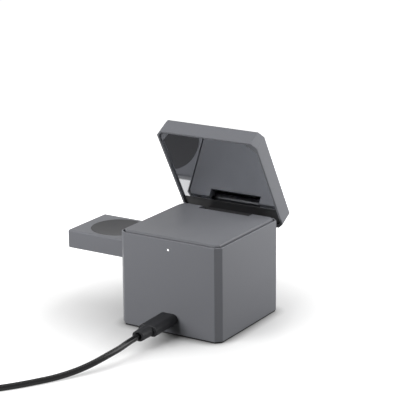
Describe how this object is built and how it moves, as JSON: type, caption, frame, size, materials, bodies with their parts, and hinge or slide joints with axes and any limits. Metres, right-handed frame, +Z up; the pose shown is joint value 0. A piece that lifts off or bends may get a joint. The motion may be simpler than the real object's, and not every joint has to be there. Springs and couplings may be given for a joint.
{
  "type": "wireless charger",
  "caption": "Folding cube wireless charger with a flip-up phone pad, a raised earbud deck, a slide-out watch slab and a USB-C lead plugged in behind.",
  "frame": {"origin": "middle of the foot pad's underside, on the table under the middle of the body", "axes": "+Z up, +Y towards the rear face with the port and status light, +X the way the watch slab slides out; the lid's hinge is at the -Y edge"},
  "size_m": [0.1223, 0.2059, 0.0997],
  "materials": {
    "shell_grey": "fine-grained satin metallic grey",
    "deck_grey": "satin dark grey",
    "black_plastic": "satin black",
    "mirror": "polished",
    "pad_soft": "soft-touch matt dark grey",
    "foot_rubber": "matt black",
    "puck_gloss": "smooth near-black",
    "steel": "plain",
    "hinge_metal": "satin dark grey",
    "board_green": "solder-mask green",
    "chip_black": "matt black",
    "coil_copper": "enamelled copper",
    "ferrite": "matt dark grey",
    "light_clear": "clear, lit white",
    "lead_black": "smooth satin black",
    "plug_black": "satin black",
    "tie_black": "matt black"
  },
  "bodies": {
    "base": {"body_shell": "shell_grey", "base_plate": "black_plastic", "foot_pad": "foot_rubber", "base_screws": "steel", "counterweight": "steel", "main_board": "board_green", "board_parts": "chip_black", "board_screws": "steel", "usb_receptacle": "steel", "receptacle_tongue": "chip_black", "light_pipe": "light_clear", "status_led": "light_clear", "led_board": "board_green", "top_deck": "deck_grey", "earbud_coil": "coil_copper", "earbud_shield": "ferrite", "drawer_guide": "black_plastic", "hinge_bracket": "steel", "bracket_screws": "steel", "hinge_pin": "steel", "friction_washers": "steel", "plug_overmold": "plug_black", "plug_collar": "plug_black", "plug_tip": "steel", "cord_run": "lead_black", "cord_coil": "lead_black", "cord_tail": "lead_black", "cord_ties": "tie_black", "far_overmold": "plug_black", "far_collar": "plug_black", "far_tip": "steel"},
    "lid": {"lid_shell": "shell_grey", "mirror_panel": "mirror", "hinge_strip": "black_plastic", "hinge_arm": "hinge_metal", "arm_screws": "steel", "phone_pad": "pad_soft", "magnet_ring": "steel", "phone_coil": "coil_copper", "phone_shield": "ferrite"},
    "drawer": {"drawer_tray": "shell_grey", "drawer_cover": "black_plastic", "cover_screws": "steel", "watch_puck": "puck_gloss", "watch_coil": "coil_copper", "watch_magnet": "steel", "watch_shield": "ferrite"}
  },
  "joints": [
    {"name": "lid_hinge", "type": "hinge", "parent": "base", "child": "lid", "pos_m": [0, -0.0265, 0.0423], "axis": [1, 0, 0], "range_deg": [-60, 0]},
    {"name": "drawer_slide", "type": "slide", "parent": "base", "child": "drawer", "axis": [1, 0, 0], "range_m": [-0.0419, 0]}
  ]
}
